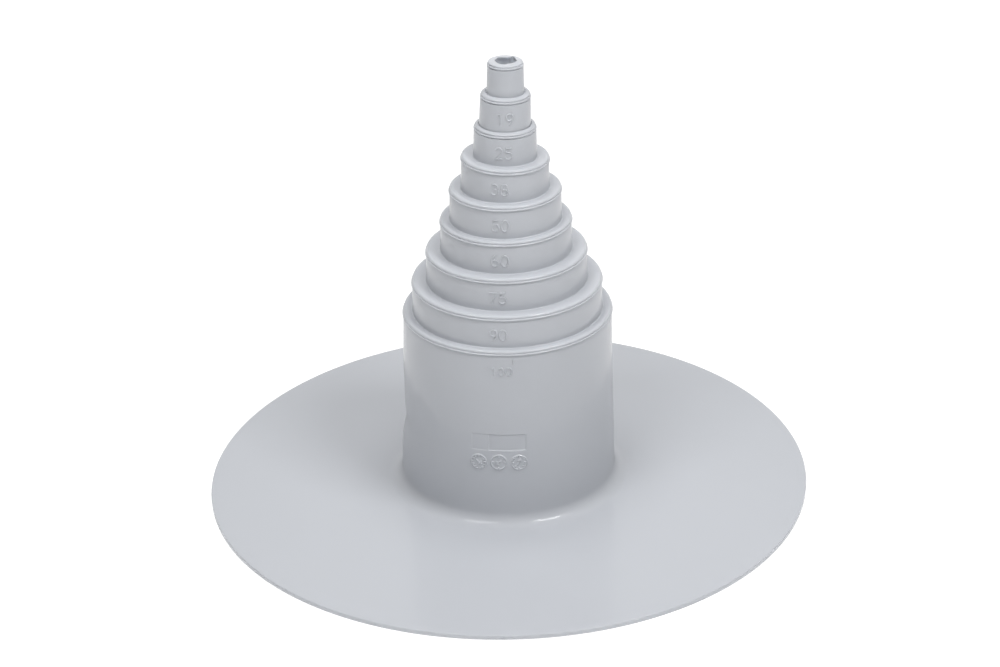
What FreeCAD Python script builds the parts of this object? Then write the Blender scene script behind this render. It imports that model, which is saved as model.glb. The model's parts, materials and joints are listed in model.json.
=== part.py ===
import FreeCAD, Part
import os
import Sketcher

# Pipe flashing boot: one soft moulding that seals a pipe where it passes through a roof.
# A round flat brim carries a long drafted skirt, and sleeves of falling pipe size stand on each
# other's shelves above it. The fitter cuts the boot at the shelf of the size in use.
# Frame: millimetres, +Z up the sleeves, origin on the axis at the underside of the brim.

doc = FreeCAD.newDocument("pipe_flashing_boot")

# ---------------------------------------------------------------------------
# Driving dimensions
# ---------------------------------------------------------------------------

# Pipe sizes that the sleeves seal on, from the lowest sleeve to the top one.
PIPE_SIZES = (100, 90, 75, 60, 50, 38, 25, 19, 12)

DIMENSIONS = (
    ("brim_radius", 154.4, "outer radius of the brim"),
    ("brim_thickness", 2.5, "thickness of the brim"),
    ("brim_edge_bevel", 0.5, "bevel on the brim's two outer edges"),
    ("base_fillet", 7.0, "fillet between the brim and the skirt"),
    ("mouth_bevel", 2.0, "bevel round the open mouth under the brim"),
    ("wall", 2.35, "wall of every sleeve at its top, outside its pipe"),
    ("shelf_thickness", 2.35, "thickness of the shelf between two sleeves"),
    ("draft_angle", 1.7, "draft of the outside of the sleeves, degrees"),
    ("skirt_height", 98.0, "underside of the brim to the first shelf"),
    ("step_pitch", 16.34, "height from one shelf to the next"),
    ("collar_length", 16.0, "straight bore under the first shelf, above the drafted skirt"),
    ("shoulder_bevel", 1.0, "bevel on the outer edge of each shelf"),
    ("bead_drop", 1.9, "shelf down to the middle of its bead"),
    ("bead_height", 1.0, "height of the bead round each sleeve, at its root"),
    ("bead_stand", 0.5, "how far the bead stands out of its sleeve"),
    ("foot_bevel", 1.1, "bevel where a sleeve stands on the shelf below"),
    ("cap_thickness", 1.6, "thin end wall that closes the top sleeve"),
    ("trim_radius", 5.2, "mean radius of the hole cut by hand in the end wall"),
)

sheet = doc.addObject("Spreadsheet::Sheet", "sizes")


def put(row, alias, value, note):
    sheet.set(f"A{row}", alias)
    sheet.set(f"B{row}", str(value))
    sheet.set(f"C{row}", note)
    sheet.setAlias(f"B{row}", alias)


for row, (alias, size, note) in enumerate(DIMENSIONS, start=1):
    put(row, alias, size, note)
for number, size in enumerate(PIPE_SIZES, start=1):
    put(len(DIMENSIONS) + number, f"pipe_size_{number}", size, f"pipe size of sleeve {number}")
doc.recompute()

LAST = len(PIPE_SIZES)


# ---------------------------------------------------------------------------
# Sizes that follow from the sheet, as expressions
# ---------------------------------------------------------------------------

def bore(number):
    """Radius inside a sleeve. The top sleeve is closed, so nothing stands on it."""
    return f"sizes.pipe_size_{number} / 2" if number <= LAST else "0"


def outside(number):
    """Outer radius of a sleeve just under its bead."""
    return f"({bore(number)} + sizes.wall)"


def shelf(number):
    """Height of the shelf on top of a sleeve."""
    return f"(sizes.skirt_height + {number - 1} * sizes.step_pitch)"


def bead_foot(number):
    """Height where a sleeve's bead ends and its drafted wall starts."""
    return f"({shelf(number)} - sizes.bead_drop - sizes.bead_height / 2)"


def outside_at(number, height):
    """Outer radius of a sleeve's drafted wall at a height under its bead."""
    return f"({outside(number)} + tan(sizes.draft_angle) * ({bead_foot(number)} - {height}))"


def shelf_edge(number):
    """Radius where the flat of a shelf ends and its bevelled shoulder starts."""
    return f"({outside(number)} - sizes.shoulder_bevel)"


def foot_bevel(number):
    """Bevel at a sleeve's foot, no wider than the flat of the shelf that it stands on."""
    room = f"0.9 * ({shelf_edge(number - 1)} - {outside_at(number, shelf(number - 1))})"
    return f"min(sizes.foot_bevel; max({room}; 0.1 * sizes.foot_bevel))"


def mouth():
    """Radius of the open mouth, at the underside of the brim."""
    collar_foot = f"({shelf(1)} - sizes.shelf_thickness - sizes.collar_length)"
    return f"({bore(1)} + tan(sizes.draft_angle) * {collar_foot})"


# ---------------------------------------------------------------------------
# Sketches
# ---------------------------------------------------------------------------

def origin_plane(body, role):
    return next(item for item in body.Origin.OriginFeatures if item.Role == role)


def new_sketch(body, name, role):
    sketch = body.newObject("Sketcher::SketchObject", name)
    sketch.AttachmentSupport = (origin_plane(body, role), [""])
    sketch.MapMode = "FlatFace"
    return sketch


def pin(sketch, curve, end, axis, expression):
    """Ties one coordinate of a sketch point to an expression."""
    if expression == "0":
        sketch.addConstraint(Sketcher.Constraint("PointOnObject", curve, end, -2 if axis == "X" else -1))
        return
    distance = float(sketch.evalExpression(expression))
    index = sketch.addConstraint(Sketcher.Constraint(f"Distance{axis}", -1, 1, curve, end, distance))
    sketch.setExpression(f"Constraints[{index}]", expression)


def draw_outline(sketch, corners):
    """Draws a closed outline of straight lines through (x, y) corners, each an expression."""
    points = [FreeCAD.Vector(float(sketch.evalExpression(x)), float(sketch.evalExpression(y)), 0)
              for x, y in corners]
    for start, end in zip(points, points[1:] + points[:1]):
        sketch.addGeometry(Part.LineSegment(start, end))
    for index, (x, y) in enumerate(corners):
        previous = (index - 1) % len(corners)
        sketch.addConstraint(Sketcher.Constraint("Coincident", previous, 2, index, 1))
        pin(sketch, index, 1, "X", x)
        pin(sketch, index, 1, "Y", y)


# ---------------------------------------------------------------------------
# Features
# ---------------------------------------------------------------------------

def revolve(body, name, corners):
    """Turns an outline of radius and height round the axis, and adds it to the body."""
    sketch = new_sketch(body, f"{name}_section", "XZ_Plane")
    draw_outline(sketch, corners)
    feature = body.newObject("PartDesign::Revolution", name)
    feature.Profile = (sketch, [""])
    feature.ReferenceAxis = (sketch, ["V_Axis"])
    feature.Angle = 360
    doc.recompute()


def brim_section():
    """A flat ring that starts inside the skirt's wall, with its two outer edges bevelled."""
    bevel = "sizes.brim_edge_bevel"
    inner = f"({outside_at(1, '0')} - sizes.wall / 2)"
    return [
        (inner, "0"),
        (f"sizes.brim_radius - {bevel}", "0"),
        ("sizes.brim_radius", bevel),
        ("sizes.brim_radius", f"sizes.brim_thickness - {bevel}"),
        (f"sizes.brim_radius - {bevel}", "sizes.brim_thickness"),
        (inner, "sizes.brim_thickness"),
    ]


def top_of_sleeve(number):
    """The corners that every sleeve shares: bead, crease, shoulder, shelf and its underside."""
    thickness = "sizes.shelf_thickness" if number < LAST else "sizes.cap_thickness"
    underside = f"{shelf(number)} - {thickness}"
    bead_middle = f"{shelf(number)} - sizes.bead_drop"
    return [
        (outside(number), bead_foot(number)),
        (f"{outside(number)} + sizes.bead_stand", bead_middle),
        (outside(number), f"{bead_middle} + sizes.bead_height / 2"),
        (outside(number), f"{shelf(number)} - sizes.shoulder_bevel"),
        (shelf_edge(number), shelf(number)),
        (bore(number + 1), shelf(number)),
        (bore(number + 1), underside),
        (bore(number), underside),
    ]


def skirt_section():
    """Sleeve 1: a straight collar on top, then a drafted skirt down to the open mouth."""
    collar_foot = f"{shelf(1)} - sizes.shelf_thickness - sizes.collar_length"
    return [
        (mouth(), "0"),
        (outside_at(1, "0"), "0"),
        *top_of_sleeve(1),
        (bore(1), collar_foot),
    ]


def sleeve_section(number):
    """A sleeve that stands on the shelf below and spreads into it with a small bevel."""
    ground = shelf(number - 1)
    underside = f"{ground} - sizes.shelf_thickness"
    bevel = foot_bevel(number)
    bevel_top = f"({ground} + {bevel})"
    foot = outside_at(number, bevel_top)
    return [
        (bore(number), underside),
        (f"{foot} + {bevel}", underside),
        (f"{foot} + {bevel}", ground),
        (foot, bevel_top),
        *top_of_sleeve(number),
    ]


def ring_edge(feature, radius, height):
    """Name of the circular edge of a feature at a radius and height, both expressions."""
    wanted_radius = float(feature.evalExpression(radius))
    wanted_height = float(feature.evalExpression(height))
    for index, edge in enumerate(feature.Shape.Edges, start=1):
        curve = edge.Curve
        if not isinstance(curve, Part.Circle):
            continue
        if abs(curve.Radius - wanted_radius) < 1e-3 and abs(curve.Center.z - wanted_height) < 1e-3:
            return f"Edge{index}"
    raise RuntimeError(f"no ring edge of radius {wanted_radius:.3f} at height {wanted_height:.3f}")


def dress_ring(body, kind, name, ring, size_property, size):
    """Rounds or bevels one circular edge of the body so far."""
    base = body.Tip
    feature = body.newObject(f"PartDesign::{kind}", name)
    feature.Base = (base, [ring_edge(base, *ring)])
    feature.setExpression(size_property, size)
    doc.recompute()


# The knife left this outline in the end wall: each corner's place across and along, as a share of
# the hole's mean radius.
TRIM_CUTS = (
    (1.02, -0.03), (0.82, 0.86), (0.31, 0.82), (-0.27, 0.67), (-0.71, 0.86), (-0.98, -0.10),
    (-0.85, -0.52), (-0.63, -0.88), (-0.10, -1.08), (0.22, -0.75), (0.76, -0.65),
)


def trim_hole(body):
    """The ragged hole through the end wall of the top sleeve."""
    sketch = new_sketch(body, "trim_outline", "XY_Plane")
    sketch.setExpression("AttachmentOffset.Base.z", shelf(LAST))
    draw_outline(sketch, [(f"{x} * sizes.trim_radius", f"{y} * sizes.trim_radius") for x, y in TRIM_CUTS])
    feature = body.newObject("PartDesign::Pocket", "trim_hole")
    feature.Profile = (sketch, [""])
    feature.setExpression("Length", "1.5 * sizes.cap_thickness")
    doc.recompute()


# ---------------------------------------------------------------------------
# The boot
# ---------------------------------------------------------------------------

boot = doc.addObject("PartDesign::Body", "boot")
boot.Label = "boot"
boot.Placement = FreeCAD.Placement()
revolve(boot, "brim", brim_section())
revolve(boot, "skirt", skirt_section())
for number in range(2, LAST + 1):
    revolve(boot, f"sleeve_{number}", sleeve_section(number))
skirt_foot = (outside_at(1, "sizes.brim_thickness"), "sizes.brim_thickness")
dress_ring(boot, "Fillet", "base_fillet", skirt_foot, "Radius", "sizes.base_fillet")
dress_ring(boot, "Chamfer", "mouth_bevel", (mouth(), "0"), "Size", "sizes.mouth_bevel")
untrimmed = boot.Tip.Shape.Volume
trim_hole(boot)
if not boot.Tip.Shape.Volume < untrimmed - 1:
    raise RuntimeError("the trim hole cut nothing")

# ---------------------------------------------------------------------------
# Check and write
# ---------------------------------------------------------------------------

for item in doc.Objects:
    if "Invalid" in item.State or "Error" in item.State:
        raise RuntimeError(f"{item.Label} did not compute")

os.makedirs("parts", exist_ok=True)
shape = boot.Shape
if shape.isNull() or not shape.isValid() or len(shape.Solids) != 1:
    raise RuntimeError(f"{boot.Label} is not one valid solid")
print(boot.Label, f"{shape.Volume / 1000:.1f} cm3")
shape.exportStep(f"parts/{boot.Label}.step")
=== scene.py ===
import json
from math import atan2, cos, exp, hypot, pi, radians, sin, tan, tau

import bpy
from mathutils import Matrix, Vector


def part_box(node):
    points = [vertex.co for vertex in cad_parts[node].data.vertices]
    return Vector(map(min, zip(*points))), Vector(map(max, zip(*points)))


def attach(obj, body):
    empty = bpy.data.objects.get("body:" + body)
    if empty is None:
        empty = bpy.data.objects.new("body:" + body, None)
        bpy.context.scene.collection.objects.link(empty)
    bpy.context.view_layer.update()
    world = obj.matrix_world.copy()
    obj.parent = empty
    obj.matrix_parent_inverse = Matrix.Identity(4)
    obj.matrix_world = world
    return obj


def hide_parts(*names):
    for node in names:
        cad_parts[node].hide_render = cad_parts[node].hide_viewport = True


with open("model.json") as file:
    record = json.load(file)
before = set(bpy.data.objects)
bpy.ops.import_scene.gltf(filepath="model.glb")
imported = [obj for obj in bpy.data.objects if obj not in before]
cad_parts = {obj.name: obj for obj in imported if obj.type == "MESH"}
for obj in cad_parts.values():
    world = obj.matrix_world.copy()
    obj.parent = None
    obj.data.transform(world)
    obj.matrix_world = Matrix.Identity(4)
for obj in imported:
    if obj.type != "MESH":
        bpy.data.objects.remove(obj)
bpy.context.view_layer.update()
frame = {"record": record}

# Pipe flashing boot: a soft satin-grey moulding, with a round brim, a long skirt and a stack of
# ever narrower sleeves. Lengths are in metres, so a size reads as so many MM.
MM = 0.001

LOW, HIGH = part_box("boot")
BRIM_RADIUS = HIGH.x
TOP = HIGH.z

# ---------------------------------------------------------------------------
# Sizes
# ---------------------------------------------------------------------------

WALL = 2.35 * MM                # rubber outside the pipe, at the top of each sleeve
SHELF_THICKNESS = 2.35 * MM
DRAFT = tan(radians(1.7))       # the outside of each sleeve widens downwards
BRIM_THICKNESS = 2.5 * MM
BRIM_EDGE = 0.6 * MM            # rounding of the brim's edge
BASE_FILLET = 7.0 * MM
MOUTH_ROUND = 2.0 * MM
FOOT_FILLET = 0.5 * MM          # where a sleeve stands on the shelf below
DISH = 0.5 * MM                 # how far a shelf sinks towards that foot
DISH_CURVE = 1.5                # 1 would be a straight slope, and more is hollower
SHOULDER_REACH = 1.35 * MM      # rounded outer edge of a shelf, measured inwards
SHOULDER_DROP = 1.2 * MM        # and downwards
SHOULDER_INSET = 0.45 * MM      # how far the shoulder stays inside the bead
BEAD_DROP = 2.55 * MM           # shelf down to the foot of the bead
BEAD_BELOW = 0.3 * MM           # foot of the bead up to its widest ring
BEAD_ABOVE = 0.75 * MM          # and from there up to its top, a gentler slope
BEAD_REACH = 3.05 * MM          # how far the bead stands outside the pipe
BEAD_STAND = 0.65 * MM          # and outside the fine grooves above and below it
GROOVE_FOOT = 0.35 * MM         # height over which the wall comes back out under the bead
TIP_SETTLE = 0.7 * MM           # how much lower the trimmed end wall stands than it was moulded
TIP_BEAD_DROP = 2.1 * MM        # and so the shorter way from it down to its bead
TIP_SHOULDER_DROP = 0.65 * MM
CAP_THICKNESS = 0.5 * MM        # the end wall is thin where it is meant to be cut
TRIM_RADIUS = 5.2 * MM          # mean radius of the hand-cut hole in the end wall

STOCK = 0.2 * MM                # how much the walls have gained over the drawn thickness
NARROW = 13 * MM                # sleeves with a smaller bore than this
NARROW_STOCK = 0.42 * MM        # are a little stouter,
NARROW_BEAD_REACH = 2.9 * MM    # stand less proud at the bead
NARROW_REACH = 1.9 * MM         # and have a rounder shoulder

SEGMENTS = 192                  # facets round the boot
MARK_LINE = radians(-5.0)       # the moulded marks stand to the left of the front, by this turn

NEAR = 0.01 * MM                # a point this close to a height or radius is taken to be at it
WELD = 1e-6                     # points closer together than this, in metres, become one


def bore_mounts():
    """The CAD's bore mounts, the widest first."""
    bores = [mount for mount in frame["record"]["mounts"] if mount["kind"] == "bore"]
    return sorted(bores, key=lambda mount: -mount["dims"]["r_mm"])


def collars():
    """Bore radius and shelf height of each sleeve, from the lowest up, out of the CAD's mounts."""
    found = []
    for mount in bore_mounts():
        underside = mount["pos_m"][2] + mount["dims"]["length_mm"] * MM / 2
        found.append((mount["dims"]["r_mm"] * MM, underside + SHELF_THICKNESS))
    found[-1] = (found[-1][0], TOP - TIP_SETTLE)
    return found


SLEEVES = collars()
SKIRT_BORE, SKIRT_SHELF = SLEEVES[0]


def outside(bore):
    """Outer radius of a sleeve just under its bead."""
    return bore + WALL + (NARROW_STOCK if bore < NARROW else STOCK)


def at_tip(shelf):
    """True for the shelf of the top sleeve, which is its end wall."""
    return shelf > TOP - MM


def bead_foot(shelf):
    """Height where the bead ends and the drafted wall below it starts."""
    return shelf - (TIP_BEAD_DROP if at_tip(shelf) else BEAD_DROP)


def wall_radius(bore, shelf, height):
    """Outer radius of a sleeve's wall at a height under its bead."""
    return outside(bore) + DRAFT * (bead_foot(shelf) - height)


# ---------------------------------------------------------------------------
# Outline of the section, as (radius, height) points
# ---------------------------------------------------------------------------

def arc(centre, reach, start, end, steps):
    """Points of an elliptic arc; reach is its (radial, vertical) size, angles are in degrees."""
    points = []
    for step in range(steps + 1):
        angle = radians(start + (end - start) * step / steps)
        points.append((centre[0] + reach[0] * cos(angle), centre[1] + reach[1] * sin(angle)))
    return points


def between(start, end, count):
    """Points evenly spaced between two ends, without the ends."""
    return [(start[0] + (end[0] - start[0]) * step / (count + 1),
             start[1] + (end[1] - start[1]) * step / (count + 1)) for step in range(1, count + 1)]


MARKS_LOW = 30.0 * MM           # the band of the skirt that carries moulded marks
MARKS_HIGH = 54.0 * MM
MARKS_ROW = 2.0 * MM            # height of its rows of faces, before they are made finer
ROWS_BELOW = 9                  # rows of faces on the skirt under the band
ROWS_ABOVE = 16                 # and over it


def brim_outline():
    """Underside edge, round the rim and in along the top to the skirt's wall."""
    inner = BRIM_RADIUS - BRIM_EDGE
    points = arc((inner, BRIM_EDGE), (BRIM_EDGE, BRIM_EDGE), -90, 0, 4)
    points += arc((inner, BRIM_THICKNESS - BRIM_EDGE), (BRIM_EDGE, BRIM_EDGE), 0, 90, 4)
    foot = wall_radius(SKIRT_BORE, SKIRT_SHELF, BRIM_THICKNESS + BASE_FILLET)
    fillet_start = (foot + BASE_FILLET, BRIM_THICKNESS)
    points += between(points[-1], fillet_start, 24)
    points += arc((foot + BASE_FILLET, BRIM_THICKNESS + BASE_FILLET), (BASE_FILLET, BASE_FILLET),
                  270, 180, 10)
    return points


def skirt_levels():
    """Heights of the rings on the skirt, close enough for its soft dents and its moulded marks."""
    start = BRIM_THICKNESS + BASE_FILLET
    end = bead_foot(SKIRT_SHELF) - GROOVE_FOOT
    rows = round((MARKS_HIGH - MARKS_LOW) / MARKS_ROW)
    band = [MARKS_LOW + MARKS_ROW * row for row in range(rows + 1)]
    below = [start + (MARKS_LOW - start) * row / ROWS_BELOW for row in range(1, ROWS_BELOW)]
    above = [MARKS_HIGH + (end - MARKS_HIGH) * row / ROWS_ABOVE for row in range(1, ROWS_ABOVE + 1)]
    return below + band + above


def shoulder_reach(bore):
    """How far the rounded edge of a shelf runs inwards."""
    return NARROW_REACH if bore < NARROW else SHOULDER_REACH


def sleeve_top_outline(bore, shelf):
    """Bead, fine groove and rounded shoulder, up to the flat of the shelf."""
    widest = bore + (NARROW_BEAD_REACH if bore < NARROW else BEAD_REACH)
    middle = (widest - BEAD_STAND, bead_foot(shelf) + BEAD_BELOW)
    bead = arc(middle, (BEAD_STAND, BEAD_BELOW), -90, 0, 4)
    bead += arc(middle, (BEAD_STAND, BEAD_ABOVE), 0, 90, 6)[1:]
    drop = TIP_SHOULDER_DROP if at_tip(shelf) else SHOULDER_DROP
    reach = shoulder_reach(bore)
    shoulder = arc((widest - SHOULDER_INSET - reach, shelf - drop), (reach, drop), 0, 90, 7)
    return bead + shoulder


def outer_outline():
    """Over the brim and up the sleeves to the flat of the end wall."""
    points = brim_outline()
    points += [(wall_radius(SKIRT_BORE, SKIRT_SHELF, level), level) for level in skirt_levels()]
    points += sleeve_top_outline(SKIRT_BORE, SKIRT_SHELF)
    for (_, ground), (bore, shelf) in zip(SLEEVES, SLEEVES[1:]):
        low = ground - DISH
        foot = wall_radius(bore, shelf, low + FOOT_FILLET)
        edge, inner_edge = points[-1][0], foot + FOOT_FILLET
        for radius, _ in between((edge, ground), (inner_edge, ground), 3):
            inwards = (edge - radius) / (edge - inner_edge)
            points.append((radius, ground - DISH * inwards ** DISH_CURVE))
        fillet = arc((inner_edge, low + FOOT_FILLET), (FOOT_FILLET, FOOT_FILLET), 270, 180, 6)
        groove = bead_foot(shelf) - GROOVE_FOOT
        wall_top = (wall_radius(bore, shelf, groove), groove)
        points += fillet + between(fillet[-1], wall_top, 2) + [wall_top]
        points += sleeve_top_outline(bore, shelf)
    return points


def inner_outline():
    """From the hand-cut hole down the bores to the mouth and out along the underside."""
    top_bore, tip = SLEEVES[-1]
    end_wall = tip - CAP_THICKNESS
    points = between(outer_outline()[-1], (TRIM_RADIUS, tip), 2)
    points += [(TRIM_RADIUS, tip), (TRIM_RADIUS, end_wall), (top_bore, end_wall)]
    for (bore, _), (wider, shelf) in zip(SLEEVES[:0:-1], SLEEVES[-2::-1]):
        points += [(bore, shelf - SHELF_THICKNESS), (wider, shelf - SHELF_THICKNESS)]
    collar_length = bore_mounts()[0]["dims"]["length_mm"] * MM
    collar_foot = SKIRT_SHELF - SHELF_THICKNESS - collar_length
    mouth = SKIRT_BORE + DRAFT * collar_foot
    rings = between((SKIRT_BORE, collar_foot), (mouth, MOUTH_ROUND), 24)
    points += [(SKIRT_BORE, collar_foot)] + rings
    points += arc((mouth + MOUTH_ROUND, MOUTH_ROUND), (MOUTH_ROUND, MOUTH_ROUND), 180, 270, 4)
    points += between(points[-1], (BRIM_RADIUS - BRIM_EDGE, 0), 4)
    return points


# ---------------------------------------------------------------------------
# Modelling tools
# ---------------------------------------------------------------------------

def deselect():
    for item in bpy.context.selected_objects:
        item.select_set(False)


def pick(obj):
    """Selects one object alone and makes it the active one."""
    deselect()
    bpy.context.view_layer.objects.active = obj
    obj.select_set(True)


def start_editing(obj):
    pick(obj)
    bpy.ops.object.mode_set(mode="EDIT")


def stop_editing():
    bpy.ops.object.mode_set(mode="OBJECT")


def on_ring(radius, height, turn=MARK_LINE):
    """A point at a radius and height, turned from the front (-Y) towards the right (+X)."""
    return Vector((radius * sin(turn), -radius * cos(turn), height))


def draw_wire(points):
    """Draws a chain of points as a new object of edges alone, and leaves it in edit mode."""
    deselect()
    bpy.ops.mesh.primitive_plane_add(size=MM, location=points[0])
    bpy.ops.object.transform_apply(location=True)
    bpy.ops.object.mode_set(mode="EDIT")
    bpy.ops.mesh.merge(type="CENTER")
    for start, end in zip(points, points[1:]):
        bpy.ops.mesh.extrude_vertices_move(TRANSFORM_OT_translate={"value": end - start})
    return bpy.context.object


def lathe(name, outline):
    """Draws a closed outline as a wire in the plane of the mark line and spins it into a solid."""
    points = [on_ring(radius, height) for radius, height in outline]
    obj = draw_wire(points)
    obj.name = name
    stop_editing()
    for vertex in obj.data.vertices:
        to_ends = [(vertex.co - end).length for end in (points[0], points[-1])]
        vertex.select = min(to_ends) < 0.1 * WELD
    bpy.ops.object.mode_set(mode="EDIT")
    bpy.ops.mesh.edge_face_add()
    bpy.ops.mesh.select_all(action="SELECT")
    bpy.ops.mesh.spin(steps=SEGMENTS, angle=tau, center=(0, 0, 0), axis=(0, 0, 1))
    bpy.ops.mesh.select_all(action="SELECT")
    bpy.ops.mesh.remove_doubles(threshold=WELD)
    bpy.ops.mesh.normals_make_consistent(inside=False)
    stop_editing()
    return obj


def turn_of(point):
    """How far a point is turned from the front towards the right."""
    return atan2(point.x, -point.y)


def select_faces(obj, wanted):
    """Selects the faces whose centre passes a test, and nothing else."""
    mesh = obj.data
    for vertex in mesh.vertices:
        vertex.select = False
    for edge in mesh.edges:
        edge.select = False
    for face in mesh.polygons:
        face.select = wanted(face.center)


def smooth(obj, angle=32):
    """Shades an object smoothly but for the edges sharper than an angle in degrees."""
    pick(obj)
    bpy.ops.object.shade_smooth_by_angle(angle=radians(angle))


# ---------------------------------------------------------------------------
# The boot itself
# ---------------------------------------------------------------------------

# The knife's corners round the hole, across and along, in millimetres.
TRIM_CUTS = (
    (5.6, -0.6), (4.9, 3.1), (3.7, 4.4), (2.6, 4.8), (1.2, 4.2), (-0.9, 4.4), (-3.4, 4.6),
    (-4.4, 2.4), (-5.1, 0.2), (-4.1, -2.9), (-2.6, -5.0), (-0.3, -5.8), (1.1, -4.5), (2.6, -4.1),
    (4.5, -2.8),
)
NIB = (4.2, 4.4)                # the little flap left standing at a corner of the hole
NIB_HEIGHT = 0.68 * MM
NIB_SPREAD = 1.4                # in millimetres
NIB_DEPTH = 0.3 * MM            # how much of the end wall under it lifts with it


def trim_reach(x, y):
    """Distance to the cut outline in the direction of (x, y)."""
    length = hypot(x, y)
    ray = (x / length, y / length)
    for (ax, ay), (bx, by) in zip(TRIM_CUTS, TRIM_CUTS[1:] + TRIM_CUTS[:1]):
        side_a = ray[0] * ay - ray[1] * ax
        side_b = ray[0] * by - ray[1] * bx
        if side_a * side_b > 0 or side_a == side_b:
            continue
        share = side_a / (side_a - side_b)
        hit = (ax + (bx - ax) * share, ay + (by - ay) * share)
        if hit[0] * ray[0] + hit[1] * ray[1] > 0:
            return hypot(*hit) * MM
    return TRIM_RADIUS


def cut_trim_hole(mesh):
    """Moves the round hole in the end wall to the ragged outline of the knife and lifts the nib."""
    top_bore, tip = SLEEVES[-1]
    fade_radius = top_bore + BEAD_REACH - SHOULDER_INSET - shoulder_reach(top_bore)
    for vertex in mesh.vertices:
        co = vertex.co
        radius = hypot(co.x, co.y)
        if co.z < tip - CAP_THICKNESS - NEAR:
            continue
        on_rim = radius < TRIM_RADIUS + NEAR
        if radius < fade_radius + NEAR and (on_rim or co.z > tip - NEAR):
            fade = min(1.0, (fade_radius - radius) / (fade_radius - TRIM_RADIUS))
            reach = 1 + (trim_reach(co.x, co.y) / TRIM_RADIUS - 1) * fade * TRIM_RADIUS / radius
            co.x *= reach
            co.y *= reach
        away = hypot(co.x / MM - NIB[0], co.y / MM - NIB[1]) / NIB_SPREAD
        if away < 1 and co.z > tip - NIB_DEPTH:
            co.z += NIB_HEIGHT * (1 - away) ** 0.7


# The sunk panel and the three raised dials under it, in millimetres, across from the mark line and
# up from the table.
PANEL = (-14.2, 12.9, 43.7, 52.4)    # left, right, bottom and top
PANEL_DEPTH = 0.38
PANEL_RIB = -5.9                     # where a fine rib splits it
PANEL_RIB_HALF = 0.25                # half the rib's width
PANEL_RIB_STAND = 0.5                # the rib's height, as a share of the depth beside it
PANEL_LEFT_DEPTH = 0.4               # depth to the left of the rib, as a share of the rest
EDGE = 0.22                          # how far a moulded edge runs out

DIAL_RADIUS = 4.1
DIAL_STAND = 0.5
DIAL_RIM = 0.55                      # width of the raised rim
DIAL_SINK = 0.75                     # how far it sinks inside the rim, as a share of its stand
DIAL_HEIGHT = 37.2
DIAL_RAISED = 0.25                   # how much higher the middle dial is
DIAL_STEP = 10.1                     # from one dial to the next
DIAL_ASIDE = -0.65                   # the middle dial, from the mark line
DIAL_LINE_HALF = 0.26                # half the width of ticks and pointers
DIAL_LINE_STAND = 0.45
TICK = (2.9, 3.3)                    # from and to, outwards from the dial's middle
POINTER = (1.5, 1.9)                 # reach behind the middle and ahead of it
BARB = 1.5                           # length of the pointer's two barbs
BARB_TURN = 145                      # their turn from the pointer, in degrees


def ramp(distance):
    """1 well inside an edge, 0 well outside it, and a soft slope between."""
    share = min(1.0, max(0.0, 0.5 + distance / (2 * EDGE)))
    return share * share * (3 - 2 * share)


def from_line(point, start, end):
    """Distance of a point from a straight stroke."""
    along = (end[0] - start[0], end[1] - start[1])
    to_point = (point[0] - start[0], point[1] - start[1])
    share = (to_point[0] * along[0] + to_point[1] * along[1]) / (along[0] ** 2 + along[1] ** 2)
    share = min(1.0, max(0.0, share))
    return hypot(to_point[0] - along[0] * share, to_point[1] - along[1] * share)


def around(centre, radius, degrees):
    """A point at a radius and a clock angle round a centre."""
    angle = radians(degrees)
    return (centre[0] + radius * sin(angle), centre[1] + radius * cos(angle))


def arrow(centre, degrees):
    """Strokes of a pointer that turns with the dial."""
    tail = around(centre, POINTER[0], degrees + 180)
    head = around(centre, POINTER[1], degrees)
    barbs = [around(head, BARB, degrees + turn) for turn in (BARB_TURN, -BARB_TURN)]
    return [(tail, head)] + [(head, barb) for barb in barbs]


def dial_strokes(centre, ticks, pointer):
    """Ticks round the dial and its pointer, as straight strokes."""
    strokes = arrow(centre, pointer)
    for number in range(ticks):
        turn = 360 * number / ticks
        strokes.append((around(centre, TICK[0], turn), around(centre, TICK[1], turn)))
    return strokes


# Each dial, from the left: its place in steps from the middle one, its ticks, its pointer's turn.
DIALS = []
for side, tick_count, pointer_turn in ((-1, 12, 130), (0, 4, 235), (1, 8, 20)):
    middle = (DIAL_ASIDE + side * DIAL_STEP, DIAL_HEIGHT + DIAL_RAISED * (1 - abs(side)))
    DIALS.append((middle, dial_strokes(middle, tick_count, pointer_turn)))


def marks_relief(across, up):
    """How far the skirt stands out at a point of its marks' band, all in millimetres."""
    left, right, bottom, top = PANEL
    sunk = ramp(min(across - left, right - across, up - bottom, top - up))
    depth = PANEL_DEPTH * (1.0 if across > PANEL_RIB else PANEL_LEFT_DEPTH)
    rib = ramp(PANEL_RIB_HALF - abs(across - PANEL_RIB))
    out = -depth * sunk + PANEL_RIB_STAND * depth * sunk * rib
    for centre, strokes in DIALS:
        away = hypot(across - centre[0], up - centre[1])
        if away > DIAL_RADIUS + 1:
            continue
        out += DIAL_STAND * ramp(DIAL_RADIUS - away)
        out -= DIAL_SINK * DIAL_STAND * ramp(DIAL_RADIUS - DIAL_RIM - away)
        if away < DIAL_RADIUS - 0.4:
            nearest = min(from_line((across, up), *stroke) for stroke in strokes)
            out += DIAL_LINE_STAND * ramp(DIAL_LINE_HALF - nearest)
    return out


MARKS_TURN = radians(17.9)           # how far the marks' band reaches to each side of their line
MARKS_CUTS = 8                       # cuts that make its faces finer
ON_WALL = 0.2 * MM                   # how close to the drawn wall a point counts as on it


def on_marks_band(point):
    """True on the skirt's outer wall, within the marks' band and near the mark line."""
    if not (MARKS_LOW - NEAR < point.z < MARKS_HIGH + NEAR):
        return False
    wall = wall_radius(SKIRT_BORE, SKIRT_SHELF, point.z)
    on_wall = abs(hypot(point.x, point.y) - wall) < ON_WALL
    return on_wall and abs(turn_of(point) - MARK_LINE) < MARKS_TURN


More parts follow.
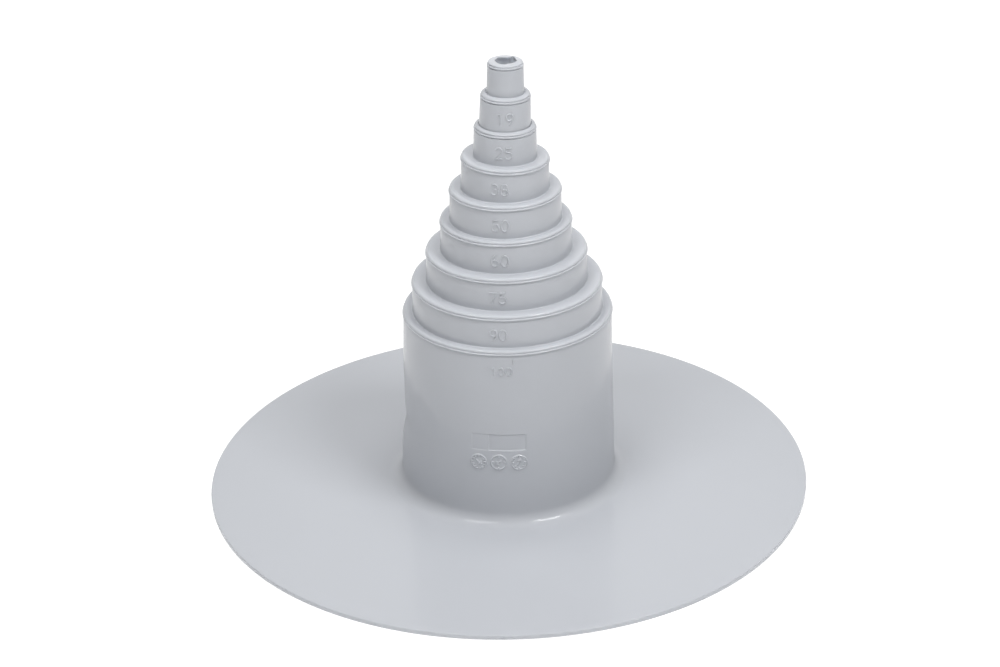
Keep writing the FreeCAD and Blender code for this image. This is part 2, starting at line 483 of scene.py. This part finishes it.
def mould_marks(obj):
    """Refines the marks' band and moulds the panel and the dials into it."""
    select_faces(obj, on_marks_band)
    bpy.context.view_layer.objects.active = obj
    bpy.ops.object.mode_set(mode="EDIT")
    bpy.ops.mesh.select_mode(type="FACE")
    bpy.ops.mesh.subdivide(number_cuts=MARKS_CUTS)
    bpy.ops.mesh.select_mode(type="VERT")
    stop_editing()
    for vertex in obj.data.vertices:
        if on_marks_band(vertex.co):
            radius = wall_radius(SKIRT_BORE, SKIRT_SHELF, vertex.co.z)
            across = (turn_of(vertex.co) - MARK_LINE) * radius / MM
            out = radius + marks_relief(across, vertex.co.z / MM) * MM
            vertex.co = on_ring(out, vertex.co.z, turn_of(vertex.co))


# Soft dents in the left of the skirt: (height, depth, reach up and down, turn, reach round).
DENTS = (
    (51 * MM, 0.8 * MM, 15 * MM, radians(-86), radians(34)),
    (37 * MM, 1.5 * MM, 8 * MM, radians(-86), radians(30)),
)


def press_dents(mesh):
    """Pushes the skirt's outer wall in where it is dented, with anything moulded on it."""
    for vertex in mesh.vertices:
        co = vertex.co
        radius = hypot(co.x, co.y)
        if co.z < BRIM_THICKNESS or co.z > SKIRT_SHELF or radius < 0.9 * SKIRT_BORE:
            continue
        push = 0
        for height, depth, reach, turn, spread in DENTS:
            away = (turn_of(co) - turn + pi) % tau - pi
            push += depth * exp(-((co.z - height) / reach) ** 2 - (away / spread) ** 2)
        co.x *= 1 - push / radius
        co.y *= 1 - push / radius


LEAN = Vector((0.0158, 0.0055))  # the soft cone has settled a little to the right and back
LEAN_STARTS = BRIM_THICKNESS
LEAN_FULL = 30 * MM

# Besides, each sleeve stands a little to one side and tips a little to the right:
# (height and shift to the right in mm, fall to the right).
SWAY = (
    (2.5, 0.0, 0.004), (45, 0.0, 0.006), (98, 0.18, 0.003), (114, 0.0, 0.002),
    (147, -0.27, 0.0), (163, -0.42, 0.006), (180, -0.29, 0.04), (196, -0.22, 0.022),
    (212, 0.13, 0.022), (229, 0.18, 0.02),
)


def sway_at(height):
    """Shift to the right, in mm, and fall to the right at a height."""
    for low, high in zip(SWAY, SWAY[1:]):
        if height <= high[0]:
            share = max(0.0, (height - low[0]) / (high[0] - low[0]))
            return tuple(start + (end - start) * share
                         for start, end in zip(low[1:], high[1:]))
    return SWAY[-1][1:]


def lean(mesh):
    """Tips everything above the brim, easing in over the skirt's foot."""
    for vertex in mesh.vertices:
        co = vertex.co
        rise = co.z - LEAN_STARTS
        if rise <= 0:
            continue
        share = min(1.0, rise / (LEAN_FULL - LEAN_STARTS))
        share = share * share * (3 - 2 * share)
        shift, fall = sway_at(co.z / MM)
        tip = fall * co.x + LEAN.y * co.y
        co.x += LEAN.x * rise + shift * MM
        co.y += LEAN.y * rise
        co.z -= tip * share


# The brim's edge runs in and out a little: (waves round the brim, size in mm, turn of a crest).
BRIM_WAVES = ((2, 0.16, radians(-11)), (3, 0.38, radians(51.7)), (4, 0.11, radians(8.7)))
BRIM_SHRINK = 0.1               # in millimetres
BRIM_FLAT = 0.6                 # share of the brim's radius that the waves leave alone
BRIM_LIMIT = min(HIGH.x, HIGH.y, -LOW.x, -LOW.y) - 0.02 * MM


def ruffle_brim(mesh):
    """Waves the outer part of the brim, and never past the size it was drawn at."""
    for vertex in mesh.vertices:
        co = vertex.co
        radius = hypot(co.x, co.y)
        share = (radius - BRIM_FLAT * BRIM_RADIUS) / ((1 - BRIM_FLAT) * BRIM_RADIUS)
        if share <= 0:
            continue
        turn = turn_of(co)
        wave = sum(size * cos(count * (turn - crest)) for count, size, crest in BRIM_WAVES)
        reach = 1 + (wave - BRIM_SHRINK) * MM * min(1.0, share) ** 2 / radius
        co.x = max(-BRIM_LIMIT, min(BRIM_LIMIT, co.x * reach))
        co.y = max(-BRIM_LIMIT, min(BRIM_LIMIT, co.y * reach))


def build_boot():
    boot = lathe("stepped_boot", outer_outline() + inner_outline())
    cut_trim_hole(boot.data)
    mould_marks(boot)
    press_dents(boot.data)
    lean(boot.data)
    ruffle_brim(boot.data)
    smooth(boot)
    return boot


# ---------------------------------------------------------------------------
# Raised marks
# ---------------------------------------------------------------------------

# All in millimetres.
RAISE = 0.46                    # how far the size numbers stand out
STROKE = 0.85                   # width of their strokes
DIGIT_WIDTH = 3.6
DIGIT_GAP = 1.1
LONG_WIDTH = 0.75               # digits of a number with three of them, as a share of the width
LONG_PITCH = 0.8                # and of the pitch
MARK_HEIGHT = 6.4
MARK_DROP = 9.95                # shelf down to the middle of a number
SKIRT_MARK_HEIGHT = 5.1         # the skirt's own number is smaller
SKIRT_MARK_DROP = 10.95
SKIRT_TICKS = [[(6.0, 4.0), (6.0, 6.2)], [(-6.2, 2.0), (-5.9, 2.0)]]    # two tool marks beside it


def bend(centre, reach, start, end):
    """A curved stroke: points about every 18 degrees along an elliptic arc."""
    return arc(centre, reach, start, end, max(3, round(abs(end - start) / 18)))


# Strokes of each digit in a cell one wide and one high, drawn as a round-nosed cutter would.
DIGITS = {
    "0": [bend((0.5, 0.5), (0.5, 0.5), 90, 450)],
    "1": [[(0.28, 0.8), (0.58, 1.0), (0.58, 0.0)]],
    "2": [bend((0.5, 0.7), (0.45, 0.3), 165, -30) + [(0.03, 0.0), (0.97, 0.0)]],
    "3": [bend((0.45, 0.74), (0.4, 0.26), 150, -80), bend((0.47, 0.27), (0.5, 0.27), 85, -155)],
    "5": [[(0.88, 1.0), (0.2, 1.0), (0.12, 0.55)] + bend((0.47, 0.32), (0.5, 0.32), 128, -155)],
    "6": [bend((0.75, 0.42), (0.72, 0.6), 105, 175), bend((0.5, 0.3), (0.47, 0.3), 90, 450)],
    "7": [[(0.03, 1.0), (0.97, 1.0), (0.38, 0.0)]],
    "8": [bend((0.5, 0.75), (0.38, 0.25), 90, 450), bend((0.5, 0.26), (0.47, 0.26), 90, 450)],
}
DIGITS["9"] = [[(1 - x, 1 - y) for x, y in stroke] for stroke in DIGITS["6"]]


def number_strokes(text, height):
    """The strokes of a number centred on the origin, in millimetres."""
    pitch, width = DIGIT_WIDTH + DIGIT_GAP, DIGIT_WIDTH
    if len(text) > 2:
        pitch, width = LONG_PITCH * pitch, LONG_WIDTH * width
    start = -(pitch * (len(text) - 1) + width) / 2
    strokes = []
    for place, digit in enumerate(text):
        left = start + place * pitch
        strokes += [[(left + x * width, (y - 0.5) * (height - STROKE)) for x, y in stroke]
                    for stroke in DIGITS[digit]]
    return strokes


def draw_strokes(name, strokes):
    """Turns strokes into soft round-topped ridges, flat on the XY plane and half sunk in it."""
    pieces = []
    for stroke in strokes:
        wire = draw_wire([Vector((x * MM, y * MM, 0)) for x, y in stroke])
        bpy.ops.mesh.select_all(action="SELECT")
        bpy.ops.mesh.remove_doubles(threshold=WELD)
        stop_editing()
        bpy.ops.object.convert(target="CURVE")
        wire.data.bevel_depth = STROKE * MM / 2
        wire.data.bevel_resolution = 2
        wire.data.use_fill_caps = True
        bpy.ops.object.convert(target="MESH")
        pieces.append(wire)
    deselect()
    for piece in pieces:
        piece.select_set(True)
    bpy.context.view_layer.objects.active = pieces[0]
    if len(pieces) > 1:
        bpy.ops.object.join()
    obj = bpy.context.object
    obj.name = name
    for vertex in obj.data.vertices:
        vertex.co.z *= 2 * RAISE / STROKE
    return obj


def wrap(mesh, bore, shelf, turn, height):
    """Lays a flat piece (x across, y up, z outwards) on the wall of a sleeve."""
    for vertex in mesh.vertices:
        across, up, out = vertex.co
        level = height + up
        radius = wall_radius(bore, shelf, level)
        vertex.co = on_ring(radius + out, level, turn + across / radius)
    press_dents(mesh)
    lean(mesh)


def weld(obj):
    """Joins the points that lie together and turns all faces outwards."""
    start_editing(obj)
    bpy.ops.mesh.select_all(action="SELECT")
    bpy.ops.mesh.remove_doubles(threshold=WELD)
    bpy.ops.mesh.normals_make_consistent(inside=False)
    stop_editing()


# How far each number is turned from the mark line, by pipe size in millimetres, in degrees.
MARK_TURNS = {100: 0.8, 90: -1.2, 75: -2.0, 60: -1.1, 50: -1.2, 38: -3.0, 25: 1.6, 19: 2.9}


def build_numbers():
    """The pipe size on each sleeve, apart from the smallest, which carries none."""
    numbers = []
    for bore, shelf in SLEEVES[:-1]:
        size = round(2 * bore / MM)
        on_the_skirt = shelf == SKIRT_SHELF
        height = SKIRT_MARK_HEIGHT if on_the_skirt else MARK_HEIGHT
        strokes = number_strokes(str(size), height)
        if on_the_skirt:
            strokes += SKIRT_TICKS
        obj = draw_strokes(f"size_mark_{size}", strokes)
        drop = (SKIRT_MARK_DROP if on_the_skirt else MARK_DROP) * MM
        wrap(obj.data, bore, shelf, MARK_LINE + radians(MARK_TURNS[size]), shelf - drop)
        weld(obj)
        smooth(obj, 60)
        numbers.append(obj)
    return numbers


GATE_TURN = radians(-1.7)        # where the brim was let into, turned from the front
GATE_STROKES = [[(-0.6, 0.7), (-0.6, 1.9)], [(0.7, 0.5), (0.7, 1.4)]]


def build_gate_mark():
    """Two small nibs on the brim's edge, where the plastic was let into the mould."""
    obj = draw_strokes("gate_mark", GATE_STROKES)
    for vertex in obj.data.vertices:
        across, up, out = vertex.co
        vertex.co = on_ring(BRIM_RADIUS + out, up, GATE_TURN + across / BRIM_RADIUS)
    ruffle_brim(obj.data)
    weld(obj)
    smooth(obj, 60)
    return obj


# ---------------------------------------------------------------------------
# Materials
# ---------------------------------------------------------------------------

class Socket:
    """A shader output that takes part in sums: each operator adds its Math node."""

    def __init__(self, output):
        self.output = output

    def math(self, operation, first, second):
        return add_node(self.output.id_data, "ShaderNodeMath", {"operation": operation},
                        {0: first, 1: second})

    def __add__(self, other):
        return self.math("ADD", self, other)

    def __radd__(self, other):
        return self.math("ADD", other, self)

    def __sub__(self, other):
        return self.math("SUBTRACT", self, other)

    def __rsub__(self, other):
        return self.math("SUBTRACT", other, self)

    def __mul__(self, other):
        return self.math("MULTIPLY", self, other)

    def __rmul__(self, other):
        return self.math("MULTIPLY", other, self)


def add_node(tree, kind, settings=None, sockets=None, output=0):
    """Adds a node: its settings first, then the values or links of its sockets."""
    node = tree.nodes.new(kind)
    for name, value in (settings or {}).items():
        setattr(node, name, value)
    for name, value in (sockets or {}).items():
        if isinstance(value, Socket):
            tree.links.new(value.output, node.inputs[name])
        else:
            node.inputs[name].default_value = value
    return Socket(node.outputs[output]) if len(node.outputs) else node


def new_tree(data):
    data.use_nodes = True
    data.node_tree.nodes.clear()
    return data.node_tree


def noise(tree, place, scale, detail, roughness=0.5):
    return add_node(tree, "ShaderNodeTexNoise", {"noise_dimensions": "3D"},
                    {"Vector": place, "Scale": scale, "Detail": detail, "Roughness": roughness})


PVC_DARK = (0.473, 0.490, 0.523, 1)
PVC_LIGHT = (0.503, 0.520, 0.553, 1)


def soft_pvc():
    """Light bluish-grey soft PVC: satin, with a faint mottle, fine mould grain and slow waves."""
    material = bpy.data.materials.new("soft_pvc_satin_grey")
    tree = new_tree(material)
    place = add_node(tree, "ShaderNodeTexCoord", output=3)
    mottle = noise(tree, place, 22, 3)
    clouds = noise(tree, place, 7, 1)
    colour = add_node(tree, "ShaderNodeMix", {"data_type": "RGBA"},
                      {0: mottle * 0.6 + clouds * 0.4, 6: PVC_DARK, 7: PVC_LIGHT}, output=2)
    grain = noise(tree, place, 1400, 2)
    waves = noise(tree, place, 16, 1)
    relief = grain * 0.0045 + waves * 0.2
    bump = add_node(tree, "ShaderNodeBump", None,
                    {"Strength": 1.0, "Distance": MM, "Height": relief})
    surface = add_node(tree, "ShaderNodeBsdfPrincipled", None, {
        "Base Color": colour, "Roughness": 0.38 + mottle * 0.1, "Normal": bump,
        "Specular IOR Level": 0.3, "Coat Weight": 0.45, "Coat Roughness": 0.055})
    add_node(tree, "ShaderNodeOutputMaterial", None, {"Surface": surface})
    return material


def seen_directly(tree):
    """1 for rays from the camera or through a reflection or glass, 0 for light that bounces."""
    outputs = add_node(tree, "ShaderNodeLightPath").output.node.outputs
    total = Socket(outputs["Is Camera Ray"]) + Socket(outputs["Is Glossy Ray"])
    total = total + Socket(outputs["Is Transmission Ray"])
    return total.math("MINIMUM", total, 1.0)


FLOOR_SHADE = 0.25              # share of the floor that still takes the object's shadow
FLOOR_LIGHT = 1.27              # level of the rest, just enough for white away from the object
FLOOR_GLOW = 0.32               # light that comes up from the table to the boot
FLOOR_SIZE = 6                  # metres
FLOOR_GAP = 0.2 * MM            # under the brim, so that the two don't touch
WHITE = (1, 1, 1, 1)


def floor_material():
    """White when looked at, but for a trace of shadow, and glowing for light that bounces."""
    material = bpy.data.materials.new("studio_floor")
    tree = new_tree(material)
    diffuse = add_node(tree, "ShaderNodeBsdfDiffuse", None, {"Color": (0.9, 0.9, 0.9, 1)})
    white = add_node(tree, "ShaderNodeEmission", None, {"Color": WHITE, "Strength": FLOOR_LIGHT})
    shown = add_node(tree, "ShaderNodeMixShader", None,
                     {0: 1 - FLOOR_SHADE, 1: diffuse, 2: white})
    glow = add_node(tree, "ShaderNodeEmission", None, {"Color": WHITE, "Strength": FLOOR_GLOW})
    table = add_node(tree, "ShaderNodeAddShader", None, {0: diffuse, 1: glow})
    surface = add_node(tree, "ShaderNodeMixShader", None,
                       {0: seen_directly(tree), 1: table, 2: shown})
    add_node(tree, "ShaderNodeOutputMaterial", None, {"Surface": surface})
    return material


# ---------------------------------------------------------------------------
# Studio
# ---------------------------------------------------------------------------

AMBIENT = 0.01                  # level of the white room on the object


def build_room():
    """A white room to look at, almost dark to the boot, and the table it stands on."""
    world = bpy.data.worlds.new("white_room")
    bpy.context.scene.world = world
    tree = new_tree(world)
    room = add_node(tree, "ShaderNodeBackground", None, {"Color": WHITE, "Strength": AMBIENT})
    white = add_node(tree, "ShaderNodeBackground", None, {"Color": WHITE, "Strength": 1.0})
    surface = add_node(tree, "ShaderNodeMixShader", None,
                       {0: seen_directly(tree), 1: room, 2: white})
    add_node(tree, "ShaderNodeOutputWorld", None, {"Surface": surface})
    deselect()
    bpy.ops.mesh.primitive_plane_add(size=FLOOR_SIZE, location=(0, 0, -FLOOR_GAP))
    floor = bpy.context.object
    floor.name = "studio_floor"
    floor.data.materials.append(floor_material())


def add_softbox(name, place, width, height, watts, mirrored):
    """A soft rectangular lamp that faces the middle of the boot."""
    deselect()
    bpy.ops.object.light_add(type="AREA", location=place)
    lamp = bpy.context.object
    lamp.name = name
    lamp.data.shape = "RECTANGLE"
    lamp.data.size = width
    lamp.data.size_y = height
    lamp.data.energy = watts
    lamp.visible_glossy = mirrored
    aim = Vector((0, 0, TOP / 3)) - lamp.location
    lamp.rotation_euler = aim.to_track_quat("-Z", "Y").to_euler()


TABLE_LIGHT = 1.05              # watts that come up through the table into the boot's mouth
TABLE_LIGHT_WIDTH = 1.6 * SKIRT_BORE


def add_table_light():
    """The table's light inside the mouth, which only shows through the hole in the end wall."""
    deselect()
    bpy.ops.object.light_add(type="AREA", location=(0, 0, MM), rotation=(pi, 0, 0))
    lamp = bpy.context.object
    lamp.name = "table_light"
    lamp.data.shape = "DISK"
    lamp.data.size = TABLE_LIGHT_WIDTH
    lamp.data.energy = TABLE_LIGHT
    lamp.visible_camera = False
    lamp.visible_glossy = False


# Each lamp: name, place, width, height, watts, and whether the gloss mirrors it. The two strips
# make the fine lines of light, and the others are too diffuse to show.
LAMPS = (
    ("strip_left", (-0.482, -0.617, 1.16), 0.62, 0.12, 4.55, True),
    ("strip_right", (0.6, -0.503, 1.16), 0.5, 0.2, 6.9, True),
    ("overhead", (0.0, 0.0, 1.7), 1.3, 1.3, 20.5, False),
    ("front_low", (0.0, -1.6, 0.35), 1.0, 0.5, 1.0, False),
)


def build_lamps():
    for lamp in LAMPS:
        add_softbox(*lamp)
    add_table_light()


CAMERA_DISTANCE = 1.0857        # in front of the boot's axis
CAMERA_ASIDE = -0.0004          # to the left of it
CAMERA_HEIGHT = 0.6310
CAMERA_PITCH = radians(26.827)  # looking down
CAMERA_YAW = radians(-0.111)
CAMERA_ROLL = radians(-1.627)
CAMERA_LENS = 86.4              # focal length in millimetres,
CAMERA_FRAME = 36               # on a frame this wide


def build_camera():
    data = bpy.data.cameras.new("camera")
    camera = bpy.data.objects.new("camera", data)
    bpy.context.scene.collection.objects.link(camera)
    data.sensor_width = CAMERA_FRAME
    data.lens = CAMERA_LENS
    data.clip_end = 100
    ahead = Vector((sin(CAMERA_YAW) * cos(CAMERA_PITCH), cos(CAMERA_YAW) * cos(CAMERA_PITCH),
                    -sin(CAMERA_PITCH)))
    level = Vector((cos(CAMERA_YAW), -sin(CAMERA_YAW), 0))
    above = level.cross(ahead)
    right = cos(CAMERA_ROLL) * level + sin(CAMERA_ROLL) * above
    up = cos(CAMERA_ROLL) * above - sin(CAMERA_ROLL) * level
    pose = Matrix((right, up, -ahead)).transposed().to_4x4()
    pose.translation = (CAMERA_ASIDE, -CAMERA_DISTANCE, CAMERA_HEIGHT)
    camera.matrix_world = pose
    bpy.context.scene.camera = camera


# ---------------------------------------------------------------------------
# Assembly
# ---------------------------------------------------------------------------

def main():
    bpy.context.scene.view_settings.view_transform = "Standard"
    pvc = soft_pvc()
    boot = build_boot()
    pieces = [boot, build_gate_mark()] + build_numbers()
    for piece in pieces:
        piece.data.materials.clear()
        piece.data.materials.append(pvc)
        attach(piece, "root")
    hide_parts("boot")
    build_room()
    build_lamps()
    build_camera()


main()
